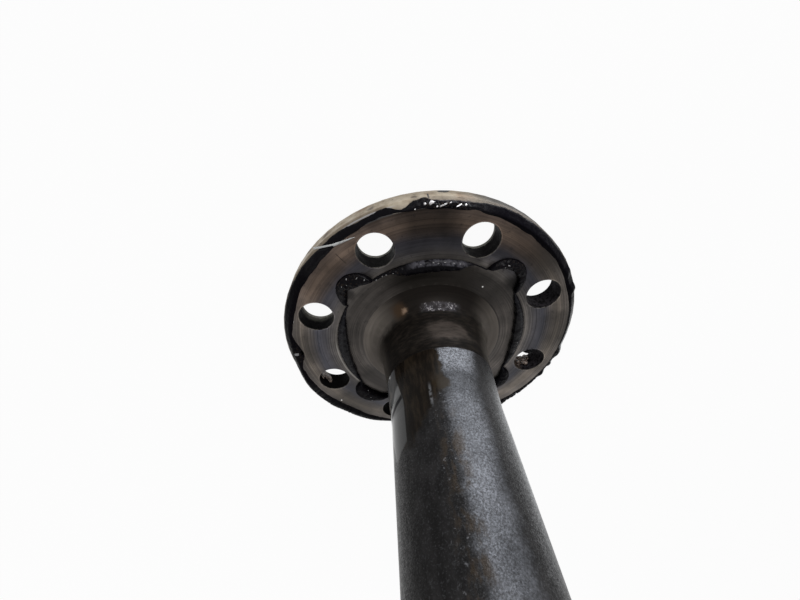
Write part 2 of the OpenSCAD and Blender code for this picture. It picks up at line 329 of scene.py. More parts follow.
def seat_steel():
    """The turned inboard face: tan outside, a blue-grey ring where the hub sat, an oily boss, tool marks, and
    painted light and shade.
    """
    tree = Tree("turned_seat")
    radius = tree.shaken(tree.radius, tree.noise(7 * MM, 3), 4 * MM)
    low, high = 36 * MM, 88 * MM
    stains = (
        (36, (0.047, 0.041, 0.037)),
        (54, (0.050, 0.044, 0.040)),
        (59, (0.070, 0.063, 0.058)),
        (65, (0.039, 0.037, 0.041)),
        (70, (0.032, 0.032, 0.039)),
        (75, (0.068, 0.059, 0.053)),
        (79, (0.104, 0.088, 0.074)),
        (84, (0.081, 0.071, 0.064)),
        (88, (0.066, 0.057, 0.051)),
    )
    place = tree.span(radius, low, high, way="LINEAR")
    colour = tree.ramp(place, [((at * MM - low) / (high - low), stain) for at, stain in stains])
    streaks = tree.rings(0.65 * MM, 0.8)
    broad = tree.rings(2.4 * MM, 2.5, 7.0)
    marked = tree.any_of(tree.arc(205, 18, 16), tree.arc(20, 26, 16))
    faint = tree.span(streaks, 0.32, 0.68, 0.80, 1.20)
    strong = tree.span(streaks, 0.38, 0.62, 0.58, 1.40)
    lines = tree.blend(marked, faint, strong)
    tone = tree.all_of(lines, tree.span(broad, 0.3, 0.7, 0.90, 1.10))
    tone = tree.all_of(tone, tree.span(tree.noise(16 * MM, 4), 0.3, 0.7, 0.7, 1.3))
    colour = tree.shade(colour, tone)
    outside = tree.span(tree.radius, 66 * MM, 76 * MM)
    for middle, spread, soft, kept in SEAT_SHADES:
        colour = tree.tint(colour, tree.all_of(tree.arc(middle, spread, soft), outside), kept)
    warm = tree.all_of(tree.arc(120, 46, 20), outside)
    colour = tree.mix(warm, colour, (1.08, 0.92, 0.84), "MULTIPLY")
    # Painted highlight: the seat outside the bore made lighter round 177 degrees.
    dry = tree.all_of(tree.arc(177, 22, 24), tree.span(tree.radius, 55 * MM, 60 * MM))
    colour = tree.tint(colour, dry, 1.35)
    # Painted shade: the oily boss darkened further at its top, round 108 degrees.
    ragged = tree.shaken(tree.radius, tree.noise(5 * MM, 4, 0.6), 14 * MM)
    oily = tree.all_of(tree.span(ragged, 38 * MM, 43 * MM), tree.span(ragged, 53 * MM, 58 * MM, 1.0, 0.0))
    oily = tree.all_of(oily, tree.arc(108, 16, 26))
    colour = tree.mix(tree.all_of(oily, 0.8), colour, (0.010, 0.008, 0.006))
    # The boss made darker by 66 and 244 degrees and lighter by -22 degrees; the darkening at 66 is painted
    # shade, the lightening at -22 a painted highlight.
    for angle, kept in ((66, 0.6), (244, 0.45), (-22, 1.5)):
        boss = tree.all_of(tree.arc(angle, 10, 14), tree.span(tree.radius, 52 * MM, 58 * MM, 1.0, 0.0))
        colour = tree.tint(colour, boss, kept)
    lined = tree.spot(polar(60 * MM, radians(61), SEAT_Z), 2 * MM, 6 * MM, 4 * MM, 5 * MM)
    colour = tree.tint(colour, lined, 0.25)
    # A spot beside the lined pocket made lighter.
    lightened_spot = tree.spot(polar(61.5 * MM, radians(80), SEAT_Z), 2 * MM, 5 * MM)
    lightened_spot = tree.all_of(lightened_spot, tree.span(tree.radius, 58.5 * MM, 60 * MM))
    colour = tree.tint(colour, lightened_spot, 2.4)
    # A lighter ring round each hole's mouth: wear, and a painted highlight on the edge.
    mouth = tree.band(tree.from_hole(), HOLE_R + 0.2 * MM, HOLE_R + 0.6 * MM, 0.25 * MM)
    worn = tree.all_of(mouth, tree.span(tree.noise(6 * MM, 3, seed=3.0), 0.35, 0.6))
    colour = tree.tint(colour, worn, 2.0)
    crumbs = tree.spot(polar(60 * MM, radians(160.5), SEAT_Z), 1.5 * MM, 3 * MM, 3 * MM, 3 * MM)
    colour = tree.tint(colour, crumbs, 0.4)
    clean = tree.all_of(tree.band(tree.radius, 59.5 * MM, 62 * MM, 1.5 * MM), tree.arc(15, 24, 8))
    colour = tree.tint(colour, clean, 1.3)
    line = tree.all_of(tree.band(tree.radius, 58.7 * MM, 59.3 * MM, 0.25 * MM), tree.arc(217, 14, 10))
    colour = tree.mix(tree.all_of(line, 0.45), colour, (0.30, 0.29, 0.27))
    score = tree.all_of(tree.arc(148, 0.10, 0.16), tree.band(tree.radius, 75 * MM, 81 * MM, 1.5 * MM))
    colour = tree.mix(tree.all_of(score, 0.6), colour, (0.012, 0.011, 0.011))
    grime = tree.span(tree.noise(2.6 * MM, 4, 0.7), 0.56, 0.70)
    colour = tree.mix(tree.all_of(grime, 0.6), colour, (0.014, 0.012, 0.012))
    for angle, at, size in ((73.7, 47.6, 0.3), (185, 84.2, 0.4), (240, 82.5, 0.35)):
        fleck = tree.spot(polar(at * MM, radians(angle), SEAT_Z), size * MM, 0.25 * MM)
        colour = tree.mix(fleck, colour, (0.75, 0.74, 0.72))
    turned_tangent(tree, 0.5)
    tree.bump((streaks, 0.02 * MM, 1.0), (broad, 0.03 * MM, 1.0))
    rough = tree.span(streaks, 0.3, 0.7, 0.36, 0.52)
    return tree.finish(Base_Color=colour, Metallic=0.85, Roughness=rough)


def rim_steel():
    """The chamfer and the rim's side: pale dry stain, brown specks, smears of sealant near the seat."""
    tree = Tree("stained_rim")
    cloud = tree.noise(7 * MM, 4, 0.6)
    colour = tree.ramp(cloud, (
        (0.30, (0.20, 0.155, 0.105)),
        (0.48, (0.36, 0.30, 0.22)),
        (0.70, (0.47, 0.41, 0.32)),
    ))
    rusty = tree.span(tree.noise(11 * MM, 3, seed=2.0), 0.52, 0.68, 0.0, 0.5)
    colour = tree.mix(rusty, colour, (0.24, 0.14, 0.085))
    colour = tree.mix(tree.all_of(tree.arc(67, 23, 14), 0.95), colour, (0.036, 0.031, 0.028))
    streaks = tree.noise(1.0, 3, 0.6, tree.stretch((240.0, 240.0, 2200.0)))
    colour = tree.mix(tree.span(streaks, 0.52, 0.72, 0.0, 0.5), colour, (0.12, 0.10, 0.082))
    specks = tree.span(tree.noise(2.0 * MM, 4, 0.7), 0.60, 0.68)
    colour = tree.mix(tree.all_of(specks, 0.85), colour, (0.030, 0.022, 0.016))
    outboard_smear = tree.spot(polar(FLANGE_R, radians(106.5), 1.5 * MM), 2.0 * MM, 1.5 * MM, 6 * MM, 3 * MM)
    crack = tree.all_of(tree.arc(111.8, 0.16, 0.2), tree.band(tree.z, 5 * MM, 9.5 * MM, 1 * MM))
    colour = tree.mix(tree.any_of(outboard_smear, crack), colour, (0.014, 0.012, 0.012))
    edge = tree.shaken(tree.height, tree.noise(3 * MM, 4), 1.6 * MM)
    reach = 3.7 * MM
    for middle, spread, soft, least in ((141, 22, 6, 2.3), (104, 11, 5, 2.6), (121, 2.5, 3, 0.3)):
        reach = tree.blend(tree.arc(middle, spread, soft), reach, least * MM)
    edge = tree.math("ADD", edge, reach)
    stain = tree.span(edge, -3.5 * MM, 0.0, 0.0, 0.75)
    colour = tree.mix(stain, colour, (0.085, 0.064, 0.046))
    smear = tree.span(edge, -0.3 * MM, 0.3 * MM)
    colour = tree.mix(tree.all_of(smear, 0.95), colour, (0.008, 0.007, 0.008))
    for angle, at, size in ((130, 7.0, 0.8), (148, 8.5, 1.2), (116, 6.0, 0.7), (157, 11, 1.0)):
        blot = tree.spot(polar(FLANGE_R, radians(angle), SEAT_Z - at * MM), size * MM, 2 * MM, 4 * MM, 2 * MM)
        colour = tree.mix(tree.all_of(blot, 0.8), colour, (0.055, 0.036, 0.022))
    glint = tree.all_of(tree.band(tree.height, -3.0 * MM, -2.7 * MM, 0.2 * MM), tree.arc(132, 6, 5))
    colour = tree.mix(tree.all_of(glint, 0.7), colour, (0.42, 0.42, 0.44))
    tree.bump((cloud, 0.15 * MM, 1.0), (specks, -0.08 * MM, 1.0))
    return tree.finish(Base_Color=colour, Metallic=0.2, Roughness=tree.span(cloud, 0.3, 0.7, 0.62, 0.48))


def neck_steel():
    """The turned neck and its fillet: dark oil, a dry tan patch with a painted highlight on it, a fillet with
    a painted highlight at its top, a pitted grey band with painted glints and a rust stain.
    """
    tree = Tree("turned_neck")
    cloud = tree.noise(1.0, 4, 0.6, tree.stretch((110.0, 110.0, 160.0)))
    around = tree.math("WRAP", tree.angle, 2 * pi, 0.0)
    turn = tree.shaken(around, cloud, 0.35)
    height = tree.shaken(tree.height, cloud, 8 * MM)
    brushed = tree.noise(1.0, 3, 0.6, tree.stretch((200.0, 200.0, 900.0)))
    # A dry tan patch where no oil ran, also lighter as a painted highlight on the neck's lit side.
    dry = tree.all_of(
        tree.band(turn, radians(83), radians(116), 0.14),
        tree.band(height, 20 * MM, 27 * MM, 3 * MM),
        tree.span(brushed, 0.3, 0.6, 0.45, 1.0),
    )
    grimy = tree.mix(tree.span(brushed, 0.40, 0.66), (0.0068, 0.0057, 0.0049), (0.0190, 0.0152, 0.0123))
    hidden = tree.math("SUBTRACT", 1.0, tree.band(around, radians(62), radians(172), 0.35))
    grimy = tree.mix(hidden, grimy, tree.mix(brushed, (0.030, 0.026, 0.022), (0.085, 0.075, 0.064)))
    colour = tree.mix(dry, grimy, (0.0430, 0.0344, 0.0290))
    colour = tree.shade(colour, tree.span(height, 27 * MM, 34 * MM, 1.0, 0.68))
    # Painted highlight: the fillet lighter at its top, round 106 degrees, than round its sides.
    fillet_painted_highlight = tree.mix(tree.arc(106, 29, 33), (0.110, 0.096, 0.084), (0.013, 0.0105, 0.009))
    colour = tree.mix(tree.span(height, 5 * MM, 11 * MM, 1.0, 0.0), colour, fillet_painted_highlight)
    rings = tree.rings(0.5 * MM, 1.2)
    broad = tree.rings(3.0 * MM, 1.5, 3.0)
    tone = tree.blend(0.5, tree.span(rings, 0.3, 0.7, 0.75, 1.25), tree.span(broad, 0.3, 0.7, 0.7, 1.3))
    colour = tree.shade(colour, tone)
    pits = tree.noise(1.0 * MM, 3, 0.6)
    pitted = tree.all_of(tree.band(tree.height, 6.8 * MM, 9.4 * MM, 1.5 * MM), tree.arc(104, 13, 9))
    patches = tree.noise(3.0 * MM, 3, seed=5.0)
    dull = tree.all_of(pitted, tree.span(patches, 0.3, 0.6, 0.1, 0.6))
    colour = tree.mix(dull, colour, (0.075, 0.070, 0.079))
    # Painted glints: bright specks on the pits.
    bright = tree.all_of(pitted, tree.span(pits, 0.53, 0.66), tree.span(patches, 0.42, 0.56))
    colour = tree.mix(bright, colour, (0.46, 0.44, 0.45))
    below = tree.all_of(tree.band(tree.height, 11.8 * MM, 13 * MM, 1 * MM), tree.arc(106, 12, 14))
    colour = tree.tint(colour, below, 0.8)
    halo = tree.spot(polar(35 * MM, radians(144), SEAT_Z + 5 * MM), 1.0 * MM, 6 * MM, 5 * MM, 3 * MM)
    colour = tree.mix(tree.all_of(halo, 0.8), colour, (0.060, 0.036, 0.020))
    rust = tree.spot(polar(34 * MM, radians(139), SEAT_Z + 6.4 * MM), 0.1 * MM, 2.6 * MM, 3.4 * MM, 1.5 * MM)
    colour = tree.mix(tree.all_of(rust, 0.85), colour, (0.34, 0.235, 0.165))
    turned_tangent(tree, 0.3)
    tree.bump((rings, 0.03 * MM, 1.0), (pits, 0.30 * MM, pitted))
    gloss = tree.span(height, 26 * MM, 34 * MM, 0.06, 0.025)
    rough = tree.span(cloud, 0.3, 0.7, 0.38, 0.50)
    return tree.finish(Base_Color=colour, Metallic=0.25, Roughness=rough, Specular_IOR_Level=gloss)


def forged_skin():
    """The as-forged body: dark scale that glints, a painted highlight down its lit side and under the neck,
    smooth where oil ran down, with painted reflections in the oil film.
    """
    tree = Tree("forged_skin")
    height = tree.height
    turn = tree.math("WRAP", tree.angle, 2 * pi, 0.0)
    speckle = tree.noise(0.7 * MM, 3, 0.65)
    mottle = tree.noise(1.0, 4, 0.6, tree.stretch((260.0, 260.0, 130.0)))
    cloud = tree.noise(14 * MM, 4, 0.55)
    side = tree.shaken(turn, tree.noise(5 * MM, 5, 0.65, seed=4.0), 0.3)
    depth = tree.shaken(height, tree.noise(6 * MM, 5, 0.65), 16 * MM)
    limit = tree.span(turn, radians(118), radians(152), 58 * MM, 78 * MM, "LINEAR")
    ran = tree.span(tree.math("SUBTRACT", depth, limit), -3 * MM, 4 * MM, 1.0, 0.0)
    patch_at = polar(27.4 * MM, radians(118), SEAT_Z + 55 * MM)
    patch = tree.spot(patch_at, 2.0 * MM, 2.5 * MM, 6 * MM, 3 * MM)
    oil = tree.any_of(tree.all_of(ran, tree.band(side, radians(117), radians(198), 0.06)), patch)
    brink = tree.span(height, 42 * MM, 56 * MM, radians(167.5), radians(160), "LINEAR")
    film_end = tree.span(turn, radians(161), radians(179), 76 * MM, 81 * MM, "LINEAR")
    film_end = tree.math("ADD", film_end, tree.span(turn, radians(179), radians(191), 0.0, -11 * MM))
    film_end = tree.math("ADD", film_end, tree.span(turn, radians(190), radians(214), 0.0, -36 * MM))
    level = tree.blend(tree.span(turn, radians(188), radians(200)), height, depth)
    film = tree.all_of(
        tree.span(tree.math("SUBTRACT", turn, brink), 0.0, 0.03),
        tree.span(turn, radians(204), radians(214), 1.0, 0.0),
        tree.span(tree.math("SUBTRACT", level, film_end), -0.7 * MM, 1.5 * MM, 1.0, 0.0),
    )
    # Painted highlight: a lit band down the shaft by 91 to 108 degrees, in the scale's speckled colours,
    # dimmer from 50 to 58 mm up.
    lit = tree.band(side, radians(91), radians(108), 0.26)
    scale = tree.mix(tree.span(speckle, 0.33, 0.67), (0.031, 0.031, 0.033), (0.076, 0.078, 0.086))
    colour = tree.mix(tree.span(mottle, 0.35, 0.65), (0.0070, 0.0066, 0.0066), (0.0150, 0.0142, 0.0144))
    colour = tree.mix(tree.span(speckle, 0.52, 0.66, 0.0, 0.7), colour, (0.034, 0.034, 0.036))
    glints = tree.all_of(tree.span(tree.noise(1.5 * MM, 2, 0.5, seed=6.0), 0.62, 0.76), tree.arc(123, 5, 8))
    colour = tree.mix(glints, colour, (0.11, 0.11, 0.118))
    dim = tree.band(depth, 50 * MM, 58 * MM, 8 * MM)
    tone = tree.all_of(tree.span(cloud, 0.3, 0.7, 0.75, 1.25), tree.blend(dim, 1.0, 0.55))
    colour = tree.mix(lit, colour, tree.shade(scale, tone))
    brown = tree.all_of(tree.arc(119, 5, 9), tree.span(mottle, 0.45, 0.60))
    brown = tree.all_of(brown, tree.span(height, 60 * MM, 90 * MM, 0.0, 0.75))
    colour = tree.mix(brown, colour, (0.024, 0.017, 0.011))
    # Painted highlight: the dry scale lighter just under the neck, by 84 to 111 degrees.
    painted_highlight_under_neck = tree.all_of(
        tree.band(side, radians(84), radians(111), 0.20),
        tree.span(depth, 38 * MM, 54 * MM, 1.0, 0.0),
    )
    shine = tree.mix(tree.span(speckle, 0.4, 0.6), (0.050, 0.050, 0.053), (0.155, 0.159, 0.174))
    colour = tree.mix(painted_highlight_under_neck, colour, shine)
    plain = tree.any_of(
        tree.math("SUBTRACT", 1.0, tree.band(turn, radians(46), radians(192), 0.45)),
        tree.span(height, 118 * MM, 200 * MM),
    )
    bare = tree.mix(tree.span(mottle, 0.35, 0.65), (0.045, 0.045, 0.047), (0.095, 0.093, 0.095))
    bare = tree.mix(tree.span(cloud, 0.48, 0.66, 0.0, 0.6), bare, (0.062, 0.048, 0.038))
    colour = tree.mix(plain, colour, bare)
    runs = tree.noise(1.0, 4, 0.65, tree.stretch((420.0, 420.0, 90.0)), 1.0)
    wet = tree.mix(tree.span(runs, 0.42, 0.68), (0.0046, 0.0033, 0.0023), (0.0170, 0.0122, 0.0080))
    colour = tree.mix(oil, colour, wet)
    colour = tree.mix(tree.all_of(patch, 0.9), colour, (0.013, 0.008, 0.003))
    # Painted reflection: the oil film made light grey below 51 to 53 mm up, for the floor and seat that it
    # would mirror.
    pale = tree.span(turn, radians(168), radians(182), 0.07, 0.15)
    grey = tree.span(height, 51 * MM, 53 * MM, pale, 0.022)
    colour = tree.mix(film, colour, tree.add("CombineColor", (grey, grey, grey)).outputs[0])
    # Painted reflection: a dark slanted line in the oil film where it would mirror the flange's edge; its
    # gloss is taken down there too.
    painted_flange_reflection = tree.span(turn, radians(162), radians(182), 53.6 * MM, 56.6 * MM, "LINEAR")
    painted_flange_reflection = tree.all_of(tree.band(tree.math("SUBTRACT", height, painted_flange_reflection), -1.0 * MM, 1.0 * MM, 0.6 * MM), film)
    colour = tree.mix(painted_flange_reflection, colour, (0.008, 0.008, 0.009))
    streak = tree.all_of(
        tree.arc(129.6, 0.2, 2.0),
        tree.band(height, 58 * MM, 63 * MM, 5 * MM),
        tree.span(tree.noise(1.6 * MM, 3, seed=8.0), 0.32, 0.58),
    )
    colour = tree.mix(tree.all_of(streak, 0.7), colour, (0.12, 0.12, 0.125))
    dry = tree.blend(tree.any_of(oil, film), 1.0, 0.05)
    rough = tree.blend(oil, tree.span(speckle, 0.38, 0.62, 0.42, 0.28), 0.20)
    rough = tree.blend(film, rough, 0.05)
    calm = tree.blend(film, tree.blend(oil, 1.0, 0.5), 0.0)
    facets = tree.facets(0.40 * MM, tree.all_of(dry, 0.18))
    tree.bump((speckle, 0.12 * MM, dry), (mottle, 0.10 * MM, calm), (cloud, 0.4 * MM, calm), normal=facets)
    gloss = tree.blend(oil, tree.blend(plain, 0.08, 0.25), 0.05)
    gloss = tree.blend(film, gloss, tree.blend(painted_flange_reflection, 0.24, 0.02))
    metal = tree.all_of(dry, 0.35)
    return tree.finish(Base_Color=colour, Metallic=metal, Roughness=rough, Specular_IOR_Level=gloss)


def hole_wall():
    """A bolt hole's wall: black grime, bare grey with painted light at the outboard end of some, dust and a
    painted grey sheen in others.
    """
    tree = Tree("hole_wall")
    grime = tree.noise(3 * MM, 4, 0.65)
    edge = tree.shaken(tree.z, grime, 3 * MM)
    # Painted light over bare grey steel: the outboard end of three holes lighter, where the floor lights the
    # wall from below.
    bare = tree.any_of(*(tree.arc(middle, 9, 2) for middle in (90, 135, 180)))
    worn = tree.all_of(tree.span(edge, 1.6 * MM, 3.0 * MM, 1.0, 0.0), bare)
    patches = tree.span(tree.noise(1.8 * MM, 3), 0.35, 0.60)
    # Painted sheen: mottled grey on the walls of the holes by 0 and 45 degrees.
    painted_grey_sheen = tree.all_of(tree.any_of(tree.arc(0, 9, 2), tree.arc(45, 9, 2)), patches)
    colour = tree.mix(painted_grey_sheen, (0.0022, 0.0020, 0.0022), (0.030, 0.027, 0.031))
    dusty = tree.all_of(tree.arc(0, 9, 2), tree.span(tree.radius, 70 * MM, 75 * MM, 1.0, 0.0), patches)
    colour = tree.mix(dusty, colour, (0.060, 0.045, 0.036))
    # Fading grey higher up the hole by 180 degrees: rubbed steel, and painted light from below.
    rubbed_and_lit = tree.all_of(tree.span(edge, 3.0 * MM, 6.5 * MM, 0.75, 0.0), tree.arc(180, 9, 2))
    colour = tree.mix(rubbed_and_lit, colour, (0.13, 0.125, 0.11))
    colour = tree.mix(worn, colour, (0.34, 0.33, 0.30))
    # The bevel lighter in patches: wear, and a painted highlight on the edge.
    bevel = tree.span(tree.height, -HOLE_BEVEL - 0.1 * MM, -HOLE_BEVEL + 0.1 * MM)
    colour = tree.mix(tree.all_of(bevel, tree.span(grime, 0.35, 0.55)), colour, (0.14, 0.13, 0.115))
    tree.bump((grime, 0.35 * MM, 1.0), (tree.noise(0.9 * MM, 3), 0.12 * MM, 1.0))
    rough = tree.span(grime, 0.3, 0.7, 0.40, 0.60)
    return tree.finish(Base_Color=colour, Roughness=rough, Specular_IOR_Level=0.015)


def outboard_steel():
    """The face that looks away from the vehicle: dull turned steel with a thin brown rust bloom."""
    tree = Tree("outboard_face")
    cloud = tree.noise(18 * MM, 5, 0.6)
    rings = tree.rings(0.6 * MM, 1.5)
    colour = tree.ramp(cloud, (
        (0.32, (0.075, 0.062, 0.052)),
        (0.52, (0.13, 0.115, 0.10)),
        (0.72, (0.19, 0.175, 0.155)),
    ))
    rust = tree.span(tree.noise(6 * MM, 5, 0.7), 0.56, 0.74)
    colour = tree.mix(tree.all_of(rust, 0.7), colour, (0.12, 0.055, 0.026))
    turned_tangent(tree, 0.4)
    tree.bump((rings, 0.03 * MM, 1.0), (rust, 0.06 * MM, 1.0))
    return tree.finish(Base_Color=colour, Metallic=0.6, Roughness=tree.span(cloud, 0.3, 0.7, 0.55, 0.42))


def spline_steel():
    """The splined end: machined steel, worn bright on the teeth and oily between them."""
    tree = Tree("splined_end")
    cloud = tree.noise(1.0, 4, 0.6, tree.stretch((300.0, 300.0, 60.0)))
    top = tree.span(tree.radius, 23.9 * MM, 25.3 * MM)
    colour = tree.mix(top, (0.075, 0.066, 0.058), (0.30, 0.285, 0.27))
    colour = tree.mix(tree.span(cloud, 0.5, 0.75, 0.0, 0.6), colour, (0.07, 0.055, 0.042))
    tree.bump((cloud, 0.03 * MM, 1.0))
    return tree.finish(Base_Color=colour, Metallic=0.9, Roughness=tree.span(cloud, 0.3, 0.7, 0.3, 0.42))


def black_sealant():
    """Cured black sealant: brown grit where it tore, a grey film with painted light on it, a top ridge with
    painted sheen, and dull stretches.
    """
    tree = Tree("black_sealant")
    lumps = tree.noise(2.2 * MM, 4, 0.6)
    fine = tree.noise(0.7 * MM, 3, 0.6)
    grit = tree.add("Attribute", attribute_name="grit").outputs["Fac"]
    bits = tree.all_of(tree.span(tree.noise(1.0 * MM, 3, 0.7), 0.54, 0.64), grit)
    colour = tree.mix(lumps, (0.0022, 0.0020, 0.0030), (0.0052, 0.0045, 0.0062))
    # The bead's outer side on the left and right arcs lighter grey: a thin grey film, with painted light on
    # the slope that faces up.
    film = tree.all_of(
        tree.band(tree.radius, HUB_BORE_R - 2.6 * MM, HUB_BORE_R + 0.5 * MM, 1 * MM),
        tree.any_of(tree.arc(205, 30, 8), tree.arc(20, 30, 8)),
    )
    colour = tree.mix(tree.all_of(film, tree.span(lumps, 0.35, 0.6)), colour, (0.013, 0.013, 0.016))
    # Painted sheen: the top arc's ridge lighter, round 107 degrees.
    crest_painted_sheen = tree.all_of(tree.band(tree.radius, 56 * MM, 58 * MM, 1 * MM), tree.arc(107, 12, 7))
    colour = tree.mix(tree.all_of(crest_painted_sheen, tree.span(lumps, 0.35, 0.6)), colour, (0.085, 0.082, 0.096))
    colour = tree.mix(tree.all_of(bits, 0.9), colour, (0.060, 0.042, 0.030))
    chip_at = polar(84.6 * MM, radians(203), SEAT_Z + 0.4 * MM)
    pale = tree.spot(chip_at, 1.0 * MM, 0.5 * MM, 3 * MM, 1.2 * MM)
    colour = tree.mix(pale, colour, (0.30, 0.30, 0.31))
    tree.bump((lumps, 0.22 * MM, 1.0), (fine, 0.06 * MM, 1.0))
    on_rim = tree.any_of(tree.arc(62, 24, 10), tree.arc(192, 26, 10))
    in_pockets = tree.any_of(tree.arc(247, 18, 6), tree.arc(-22, 14, 6))
    dull = tree.blend(tree.span(tree.radius, 78 * MM, 80 * MM), in_pockets, on_rim)
    gloss = tree.blend(dull, 0.06, 0.01)
    rough = tree.span(lumps, 0.35, 0.65, 0.16, 0.30)
    return tree.finish(Base_Color=colour, Roughness=rough, Specular_IOR_Level=gloss)


def damp_grit(name, dark, pale):
    """Grit and crumbs of sealant, damp enough to glisten."""
    tree = Tree(name)
    crumbs = tree.noise(1.1 * MM, 4, 0.7)
    colour = tree.ramp(crumbs, ((0.45, (0.012, 0.010, 0.009)), (0.54, dark), (0.63, pale)))
    tree.bump((crumbs, 0.35 * MM, 1.0))
    return tree.finish(Base_Color=colour, Roughness=tree.span(crumbs, 0.4, 0.65, 0.22, 0.45))


def glint_chip_finish(name, dark, pale):
    """Wet shreds and chips, coloured light enough to stand as painted glints."""
    tree = Tree(name)
    colour = tree.mix(tree.noise(0.8 * MM, 2), dark, pale)
    return tree.finish(Base_Color=colour, Roughness=0.3)


def bright_steel():
    """Steel that was scraped bare."""
    tree = Tree("scraped_bright")
    lines = tree.noise(0.5 * MM, 2)
    colour = tree.mix(lines, (0.52, 0.53, 0.53), (0.72, 0.73, 0.73))
    tree.bump((lines, 0.02 * MM, 1.0))
    return tree.finish(Base_Color=colour, Roughness=0.5)


# Zones of the forging; a face is flat where its normal's z is past FLAT

FLAT = 0.9


def zone_of(centre, normal):
    """Which finish a face of the forging has."""
    radius = hypot(centre.x, centre.y)
    angle = atan2(centre.y, centre.x)
    hole = polar(BOLT_CIRCLE_R, round(angle / HOLE_PITCH) * HOLE_PITCH, 0)
    from_hole = hypot(centre.x - hole.x, centre.y - hole.y)
    if centre.z <= SEAT_Z and from_hole < HOLE_R + RIM_BEVEL and abs(normal.z) < FLAT:
        return "hole"
    if radius > CHAMFER_R - RIM_BEVEL and abs(normal.z) < FLAT:
        return "rim"
    if centre.z < SEAT_Z - RIM_BEVEL:
        return "outboard"
    if centre.z < SEAT_Z + RIM_BEVEL and normal.z > FLAT:
        return "seat"
    if centre.z < NECK_END_Z:
        return "neck"
    if centre.z < SPLINE_SHOULDER_Z:
        return "skin"
    return "spline"


def dress_forging():
    """Give each zone of the forging its own finish; its mesh stays as it is."""
    finishes = {
        "seat": seat_steel(),
        "rim": rim_steel(),
        "neck": neck_steel(),
        "skin": forged_skin(),
        "hole": hole_wall(),
        "outboard": outboard_steel(),
        "spline": spline_steel(),
    }
    mesh = frame["nodes"]["axle_shaft"].data
    mesh.materials.clear()
    order = {}
    for name, material in finishes.items():
        order[name] = len(mesh.materials)
        mesh.materials.append(material)
    for polygon in mesh.polygons:
        polygon.material_index = order[zone_of(polygon.center, polygon.normal)]


# Sealant

def ray_to_circle(angle, centre_r, circle_r):
    """How far a ray from the axis runs to the far side of a circle centred out at angle 0."""
    aside = centre_r * sin(angle)
    if abs(aside) >= circle_r:
        return 0.0
    return centre_r * cos(angle) + sqrt(circle_r ** 2 - aside ** 2)


def hub_edge(angle):
    """The bore's edge, with its pockets."""
    return max(HUB_BORE_R, *(ray_to_circle(angle - at, POCKET_CENTRE_R, wall_r) for at, wall_r in WALLS))


def bowed_edge(angle):
    """The inner edge of the bead: bowed sides that meet in the pockets, or stop short in a full one."""
    sides = (ray_to_circle(angle - p - POCKET_PITCH / 2, INNER_BEAD_IN_R - BOW_R, BOW_R) for p in POCKETS)
    edge = min(side for side in sides if side > 0)
    fills = [reach for at, reach in FILLED_POCKETS if cos(angle - at) > cos(POCKET_PITCH / 2)]
    return min(edge, hub_edge(angle) - LEAST_W, *fills)


def sealant_piece(name, sections, node, state_of, lumpy):
    """A closed ring through equally spaced sections of (radius, height, freedom), with a rough surface."""
    sides = len(sections[0])
    count = len(sections)
    points = []
    for i, section in enumerate(sections):
        angle = 2 * pi * i / count
        points += [polar(radius, angle, SEAT_Z + height) for radius, height, free in section]
    free = [free for section in sections for _, _, free in section]
    faces = []
    for i in range(count):
        here, after = i * sides, (i + 1) % count * sides
        for j in range(sides):
            k = (j + 1) % sides
            faces.append((here + j, here + k, after + k, after + j))
    piece = add_piece(name, points, faces, SEALANT, node)
    mesh = piece.data
    normals = [vertex.normal.copy() for vertex in mesh.vertices]
    grit = mesh.attributes.new("grit", "FLOAT", "POINT")
    for vertex, point, normal, loose in zip(mesh.vertices, points, normals, free):
        gritty, ragged = state_of(point)
        lumps = lumpy * grain(point, 5 * MM, 2) + ragged * grain(point, 2.0 * MM, 3)
        vertex.co = point + normal * loose * lumps
        grit.data[vertex.index].value = gritty
    mesh.update()
    return piece


def inner_state(point):
    """How gritty and how ragged the inner bead is at a point."""
    radius = hypot(point.x, point.y)
    angle = atan2(point.y, point.x)
    outer = smooth(radius, 60 * MM, 64 * MM)
    pressed = outer * hump(angle, ((69, 16, 0.35), (156, 16, 0.8)))
    grit = pressed + hump(angle, ((133, 9, 0.8), (248, 14, 0.3)))
    ragged = 0.10 + outer * hump(angle, ((68, 16, 0.5), (157, 16, 0.5)))
    ragged += hump(angle, ((133, 10, 0.4), (110, 18, 0.12), (249, 16, 0.35), (338, 14, 0.35)))
    return min(grit, 1.0), ragged * MM


def inner_bead():
    """The bead that squeezed out inside the hub's bore, with the hub's four pockets."""
    count, steps = 1440, 14
    sections = []
    for i in range(count):
        angle = 2 * pi * i / count
        inner = bowed_edge(angle) + 0.5 * MM * grain(polar(1.0, angle, 3.0), 0.12, 3)
        outer = hub_edge(angle) + 0.25 * MM * grain(polar(1.0, angle, 8.0), 0.05, 3)
        width = (outer - inner) * (1 - hump(angle, INNER_WAISTS))
        width -= max(width - LINING_W, 0.0) * min(1.0, 2 * hump(angle, LINED_POCKET))
        width = max(width, LEAST_W)
        height = min(INNER_BEAD_H, 0.7 * width)
        section = []
        for step in range(steps + 1):
            v = step / steps
            lean = v ** 1.25
            rise = (1 - abs(2 * v ** 0.72 - 1) ** 2.2) ** 0.7
            section.append((outer - width * (1 - lean), height * rise, min(1.0, rise * 1.2)))
        sections.append(section)
    return sealant_piece("inner_bead", sections, "sealant_inner_bead", inner_state, 0.30 * MM)


# The line that a tool scraped: its ends past the rim and beside a bolt hole, seen from above
SCRAPE_FROM = polar(90.3 * MM, radians(153.5), SEAT_Z)
SCRAPE_TO = polar(83.2 * MM, radians(138.4), SEAT_Z)
# How far the scrape runs down the rim's side for each metre past its edge
SCRAPE_DROP = 4.0


